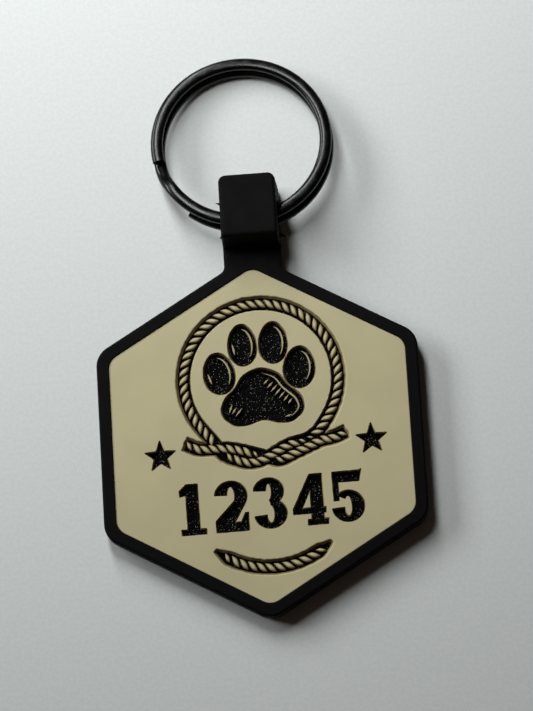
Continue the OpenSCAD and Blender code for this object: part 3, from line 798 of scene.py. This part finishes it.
cut_map = np.full((len(MAP_Y), len(MAP_X)), FAR)
for cut in rope_cuts:
    paint(cut_map, cut, np.minimum)
paint(cut_map, medallion_edge, lambda old, d: np.maximum(old, -d * CRISPNESS))
cut_map += BAND_SHRINK
for outline in strand_outlines:
    paint(cut_map, outline, lambda old, d: np.minimum(old, d - STRAND_MARGIN))
for cut in paw_cuts:
    paint(cut_map, cut, lambda old, d: np.minimum(old, d * PAW_CRISPNESS + PAW_SHRINK))
for cut in plain_cuts:
    paint(cut_map, cut, lambda old, d: np.minimum(old, d * CRISPNESS))
for eye in digit_eyes:
    paint(cut_map, eye, lambda old, d: np.maximum(old, -d * CRISPNESS))
grid_x, grid_y = np.meshgrid(MAP_X, MAP_Y)
random = np.random.default_rng(7)
for _ in range(RIPPLES):
    pace, turn, start = random.uniform(4, 12), random.uniform(0, math.pi), random.uniform(0, 6.28)
    along = grid_x * math.cos(turn) + grid_y * math.sin(turn)
    cut_map += RIPPLE_HEIGHT * np.sin(pace * along + start)
print("cut away:", round(float((cut_map < 0).sum()) * CELL ** 2, 1), "mm2")

# %% [markdown]
# ## Contours of the map
# The walls need lines at several depths. Marching squares finds each cell that a level crosses and links
# its two crossing points, and the links join up into closed loops. Drawn curves could stand in for them,
# but they wouldn't meet where two cuts run together.

# %% Trace contours
def contours(field, level):
    f = field - level
    inside = f < 0
    held = inside[:-1, :-1].astype(int) + inside[:-1, 1:] + inside[1:, :-1] + inside[1:, 1:]
    following, place = {}, {}
    for r, c in zip(*np.nonzero((held > 0) & (held < 4))):
        corners = [(r, c), (r, c + 1), (r + 1, c + 1), (r + 1, c)]
        leaving, entering = [], []
        for k in range(4):
            a, b = corners[k], corners[(k + 1) % 4]
            if inside[a] != inside[b]:
                key = (min(a, b), max(a, b))
                t = f[a] / (f[a] - f[b])
                place[key] = (MAP_X[a[1]] + (MAP_X[b[1]] - MAP_X[a[1]]) * t,
                              MAP_Y[a[0]] + (MAP_Y[b[0]] - MAP_Y[a[0]]) * t)
                (leaving if inside[a] else entering).append((k, key))
        for k, key in leaving:
            following[key] = min(entering, key=lambda e: (e[0] - k) % 4)[1]
    loops = []
    while following:
        here, loop = next(iter(following)), []
        while here in following:
            loop.append(place[here])
            here = following.pop(here)
        loops.append(np.array(loop))
    return loops


print("loops along the edge of the cut:", len(contours(cut_map, 0)))

# %% [markdown]
# ## The walls of the cut
# A wall is a few contours, each at its own height: steep at its foot and rounded over at its lip. A
# profile swept along the edge would fold over itself between two strands. A loop has far more points
# than it needs, so those within a hair of a straight line are dropped.

# %% Shape the walls
# Each level of the map, and the height of the wall there as a share of the layer's thickness
WALL = [(-0.10, 0.0), (-0.06, 0.30), (-0.01, 0.46), (0.08, 0.58), (0.15, 0.74), (0.20, 0.92), (0.25, 1.0),
        (0.34, 1.0)]
FOOT_LEVEL = WALL[0][0]
SHORTEST_LOOP, STRAIGHT = 8, 0.007


def thinned(loop):
    def keep(points):
        if len(points) < 3:
            return points[:1]
        line, apart = points[-1] - points[0], points - points[0]
        length = np.hypot(*line)
        off = np.abs(line[0] * apart[:, 1] - line[1] * apart[:, 0]) / max(length, 1e-9)
        if length < 1e-6:
            off = np.hypot(*apart.T)
        k = int(off.argmax())
        if off[k] < STRAIGHT:
            return points[:1]
        return np.concatenate([keep(points[:k + 1]), keep(points[k:])])
    half = len(loop) // 2
    return np.concatenate([keep(loop[:half + 1]), keep(np.concatenate([loop[half:], loop[:1]]))])


def map_value(x, y):
    col = np.clip((np.asarray(x) - MAP_X[0]) / CELL, 0, len(MAP_X) - 1.001)
    row = np.clip((np.asarray(y) - MAP_Y[0]) / CELL, 0, len(MAP_Y) - 1.001)
    c, r = col.astype(int), row.astype(int)
    u, v = col - c, row - r
    return ((cut_map[r, c] * (1 - u) + cut_map[r, c + 1] * u) * (1 - v)
            + (cut_map[r + 1, c] * (1 - u) + cut_map[r + 1, c + 1] * u) * v)


wall_loops = [(thinned(loop), PANEL_FLOOR + PANEL_T * share)
              for level, share in WALL for loop in contours(cut_map, level) if len(loop) > SHORTEST_LOOP]
print("wall loops:", len(wall_loops), "with", sum(len(l) for l, _ in wall_loops), "points")

# %% [markdown]
# ## Solids from flat maps
# The layer and the crust in its cut are sheets with a height at every point. A constrained triangulation
# keeps every line of their loops, where a grid would leave steps. Each sheet is then closed with a copy of
# itself on a flat base.

# %% Define triangulation and thickness
def triangulate(loops, extra=()):
    points, edges, heights = [], [], []
    for outline, z in loops:
        n = len(points)
        points += [Vector(p) for p in outline]
        edges += [(n + i, n + (i + 1) % len(outline)) for i in range(len(outline))]
        heights += [z] * len(outline)
    points += [Vector(p[:2]) for p in extra]
    heights += [p[2] for p in extra]
    made = delaunay_2d_cdt(points, edges, [], TRIANGLES_INSIDE, 1e-5)
    places = np.array([tuple(p) for p in made[0]])
    heights = np.array([heights[origin[0]] if origin else PANEL_TOP for origin in made[3]])
    triangles = np.array(made[2])
    return places, heights, triangles, places[triangles].mean(1)


def thick(name, places, heights, triangles, base):
    """A closed solid between the triangles at their heights and their shadow on a flat base."""
    triangles = triangles[heights[triangles].max(1) > base + 1e-6]
    used = np.unique(triangles)
    new = {old: i for i, old in enumerate(used)}
    top = [tuple(new[i] for i in t) for t in triangles.tolist()]
    vertices = [(*places[i], heights[i]) for i in used]
    below = {}
    for i, old in enumerate(used):
        if heights[old] > base + 1e-6:
            below[i] = len(vertices)
            vertices.append((*places[old], base))
        else:
            below[i] = i
    sides = {(a, b) for t in top for a, b in zip(t, t[1:] + t[:1])}
    faces = top + [tuple(below[i] for i in reversed(t)) for t in top]
    for a, b in sides:
        if (b, a) not in sides:
            wall = list(dict.fromkeys((b, a, below[a], below[b])))
            if len(wall) > 2:
                faces.append(tuple(wall))
    return closed(new_object(name, vertices, faces, 60))


print("a hexagon is cut into", len(triangulate([(hexagon(1), 0.0)])[2]), "triangles")

# %% [markdown]
# ## The sand-coloured layer
# All the walls' loops are triangulated together, with the hexagon's outline round them. Triangles over the
# cut are left out, and the rest fall apart into islands: the field, the disc inside the rope, and the eye
# of the digit. One mesh could hold all three, but they are separate pieces of silicone.

# %% Build the islands
LIP_R, LIP_SUPPORT, SMALLEST_ISLAND = 0.05, 0.08, 20


def islands(triangles):
    owner = {}

    def root(i):
        while owner.setdefault(i, i) != i:
            i = owner[i]
        return i

    for a, b, c in triangles.tolist():
        owner[root(a)] = owner[root(b)] = root(c)
    groups = {}
    for t in triangles.tolist():
        groups.setdefault(root(t[0]), []).append(t)
    return [np.array(g) for g in groups.values()]


lip = [(grown(panel_outline, -inset), PANEL_TOP - drop) for inset, drop in reversed(quarter(LIP_R, 2))]
lip.append((grown(panel_outline, -LIP_R - LIP_SUPPORT), PANEL_TOP))
places, heights, triangles, middles = triangulate(lip + wall_loops)
standing = [g for g in islands(triangles[map_value(*middles.T) > FOOT_LEVEL]) if len(g) > SMALLEST_ISLAND]
standing.sort(key=lambda g: -np.ptp(places[np.unique(g), 0]))
print("islands:", [len(g) for g in standing])
names = [("front_field", "front_panel"), ("medallion", "front_medallion"), ("digit_eye", "digit_counter")]
for (name, node), group in zip(names, standing):
    dress(thick(name, places, heights, group, PANEL_FLOOR), sand_silicone, "beige_silicone", "tag", node)

# %% [markdown]
# ## The engraved bed
# The crust at the bottom of the cut is real relief: points are scattered over it at random, each at its own
# height, and the facets between them catch the light one by one. A bump alone would look flat from the side.

# %% Scatter the bed
BED_STEP, BED_DEPTH, BED_JITTER = 0.14, 0.045, 0.4
BED_LIFT, BED_SUNK, BED_EDGE, EDGE_SLACK = 0.01, 0.2, 0.05, 0.004
bed_x, bed_y = np.meshgrid(np.arange(MAP_X[0], MAP_X[-1], BED_STEP),
                           np.arange(MAP_Y[0], MAP_Y[-1], BED_STEP))
bed_x = bed_x + random.uniform(-BED_JITTER, BED_JITTER, bed_x.shape) * BED_STEP
bed_y = bed_y + random.uniform(-BED_JITTER, BED_JITTER, bed_y.shape) * BED_STEP
deep = map_value(bed_x, bed_y) < FOOT_LEVEL - BED_EDGE
bed_z = PANEL_FLOOR + BED_LIFT + BED_DEPTH * random.random(deep.sum())
crumbs = np.stack([bed_x[deep], bed_y[deep], bed_z], axis=1)
foot_loops = [(loop, PANEL_FLOOR + BED_LIFT) for loop, z in wall_loops if z == PANEL_FLOOR]
places, heights, triangles, middles = triangulate(foot_loops, crumbs)
cut = triangles[map_value(*middles.T) < FOOT_LEVEL + EDGE_SLACK]
bed = thick("engraved_bed", places, heights, cut, PANEL_FLOOR - BED_SUNK)
bed.data.shade_flat()
dress(bed, engraved_black, "black_silicone", "tag")

# %% [markdown]
# ## The strands of the rope
# Each strand stands in the bed like a cushion. The solid says where it lies, how large it is and which way
# it leans. Its outline is what shows of a rope's strand between two turns of a helix: rounded ends, and
# sides that follow the twist. Rings of that outline shrink towards its middle while they rise, as on a
# pillow. The sides go down into the bed and darken with depth: partly scorch, and partly painted shade.

# %% Raise the strands
# Each ring's size, and its height as a share of the layer's thickness
STRAND_RINGS = [(1.02, 0.02), (1.0, 0.48), (0.97, 0.68), (0.90, 0.79), (0.76, 0.88), (0.5, 0.955),
                (0.25, 0.985)]
STRAND_PEAK = 0.995
HALF_ACROSS, HALF_ALONG, TWIST, BLUNTNESS = 0.45, 0.37, 0.34, 0.5
SIDE_SWEEP, SIDE_POINTS = 1.5, 15
ROPE_TURN = math.radians(36)


def reach_of(outline):
    return np.hypot(*(outline - outline.mean(0)).T).max()


full_reach = max(reach_of(outline) for outline in strand_outlines)


def twisted(outline):
    """The part of a rope's strand between two turns of a helix, laid where the solid has the strand."""
    centre = outline.mean(0)
    long_axis = np.linalg.eigh(np.cov((outline - centre).T))[1][:, 1]
    turn = math.atan2(long_axis[1], long_axis[0]) + ROPE_TURN
    half = [(HALF_ALONG * math.cos(t) ** BLUNTNESS - TWIST * t, HALF_ACROSS * math.sin(t))
            for t in np.linspace(-SIDE_SWEEP, SIDE_SWEEP, SIDE_POINTS)]
    points = reach_of(outline) / full_reach * np.array(half + [(-x, -y) for x, y in half])
    c, s = math.cos(turn), math.sin(turn)
    return centre + points @ np.array([[c, s], [-s, c]])


def cushion(outline, vertices, faces):
    centre = outline.mean(0)
    start, n = len(vertices), len(outline)
    for size, share in STRAND_RINGS:
        vertices += [(*(centre + (p - centre) * size), PANEL_FLOOR + PANEL_T * share) for p in outline]
    for ring in range(len(STRAND_RINGS) - 1):
        faces += strip(start + ring * n, start + (ring + 1) * n, n)
    vertices.append((*centre, PANEL_FLOOR + PANEL_T * STRAND_PEAK))
    last = len(vertices) - 1
    faces += [(last - n + i, last - n + (i + 1) % n, last) for i in range(n)]
    faces.append(tuple(start + i for i in reversed(range(n))))


for (node, outlines), name in zip(rope_strands.items(), ("rope_ring", "rope_tie", "rope_garland")):
    vertices, faces = [], []
    for outline in outlines:
        cushion(twisted(outline), vertices, faces)
    dress(closed(new_object(name, vertices, faces, 70)), strand_sand_painted_shade, "beige_silicone", "tag", node)

# %% [markdown]
# ## The light lines in the paw
# Thin slivers of the sand-coloured layer were left standing in the toes and in the pad. They are too thin
# for rings that shrink, so each is a short loft of the solid's own outline with a narrow bevel, and its flat
# top lies a little lower than the layer.

# %% Leave the slivers standing
# How far each loop is moved outwards, and its height as a share of the layer's thickness
SLIVER_LOOPS = [(0.02, 0.02), (0.01, 0.85), (-0.015, 0.93)]
vertices, faces = [], []
for outline in top_outlines("paw_glints"):
    loops = [(grown(outline, by), PANEL_FLOOR + PANEL_T * share) for by, share in SLIVER_LOOPS]
    bottom, top = add_loops(vertices, faces, loops)
    made = delaunay_2d_cdt([Vector(p) for p in outline], [], [range(len(outline))], TRIANGLES_INSIDE, 1e-6)
    for cap in (bottom, top):
        faces += [tuple(cap[made[3][i][0]] for i in t) for t in made[2]]
slivers = closed(new_object("paw_lines", vertices, faces, 50))
dress(slivers, strand_sand_painted_shade, "beige_silicone", "tag", "paw_glints")

# %% [markdown]
# ## The back panel
# The back can't be seen in the photograph. Tags of this kind have the same coloured layer there, flush
# with the rim, so it is a plain slab whose rounded edge leaves a fine seam against the core.

# %% Lay the back panel
vertices, faces = [], []
slab = [(grown(panel_outline, -RECESS_R - SUPPORT), 0.0)]
slab += [(grown(panel_outline, -inset), drop) for inset, drop in quarter(RECESS_R, 2)]
bottom, top = add_loops(vertices, faces, slab + [(panel_outline, BACK_PANEL_TOP)])
fill(vertices, faces, bottom)
fill(vertices, faces, top)
dress(closed(new_object("back_field", vertices, faces, 60)), back_sand, "beige_silicone", "tag", "back_panel")

# %% [markdown]
# ## The split ring
# The ring is one flat wire wound almost twice round. A curve with a bevel would draw it, but its corners
# would be too even. So it is swept: a rounded rectangle is carried along the winding, and a smooth step
# takes it from the upper turn down to the lower, which lies a little off the upper one. Both ends are cut
# square, with a narrow bevel where the shears went through.

# %% Wind the ring
RING_R, WIRE_W, WIRE_T, TURN_GAP = 10.0, 1.35, 1.0, 0.12
TURN_SHIFT, TURN_SWAY, RING_ASIDE = 0.32, 0.14, 0.2
CROWN, BULGE = 2.3, 2.6
UPPER_END, LOWER_END, STEP = 191, 230, 24
RING_TILT, CENTRE_REACH = 7.2346, 8.9672
SWEEP = 720 - (LOWER_END - UPPER_END)
STATIONS = 260
END_BEVEL, END_SETBACK = 0.05, 0.25


def wire_section(shrink):
    """A rounded rectangle whose powers say how flat its top and its sides are: 2 would be an ellipse."""
    section = []
    for k in range(36):
        a = math.radians(10 * k)
        across, up = (math.copysign(abs(v) ** (2 / power), v)
                      for v, power in ((math.cos(a), CROWN), (math.sin(a), BULGE)))
        section.append(((WIRE_W / 2 - shrink) * across, (WIRE_T / 2 - shrink) * up))
    return section


def ring_wire():
    stops = [0, *[SWEEP * i / STATIONS for i in range(STATIONS + 1)], SWEEP]
    setbacks = {1: END_SETBACK, len(stops) - 2: -END_SETBACK}
    vertices, faces = [], []
    tilt = Matrix.Rotation(math.radians(-RING_TILT), 4, "X")
    for i, swept in enumerate(stops):
        angle = math.radians(UPPER_END - swept - setbacks.get(i, 0))
        f = min(1, max(0, (swept - 360 + STEP) / STEP))
        drop = f * f * (3 - 2 * f) - 0.5
        for across, up in wire_section(END_BEVEL if i in (0, len(stops) - 1) else 0):
            r = RING_R - WIRE_W / 2 + across
            spot = tilt @ Vector((r * math.cos(angle) + TURN_SWAY * drop - RING_ASIDE,
                                  r * math.sin(angle) - TURN_SHIFT * drop + CENTRE_REACH,
                                  up - (WIRE_T + TURN_GAP) * drop))
            vertices.append((spot.x, spot.y + TUNNEL_Y, spot.z + TUNNEL_Z))
    n = len(wire_section(0))
    for i in range(len(stops) - 1):
        faces += strip(i * n, (i + 1) * n, n)
    faces += [tuple(range(n)), tuple(range((len(stops) - 1) * n, len(stops) * n))]
    return closed(new_object("ring_wire", vertices, faces, 50))


dress(ring_wire(), ring_coat, "black_steel", "ring", "split_ring")
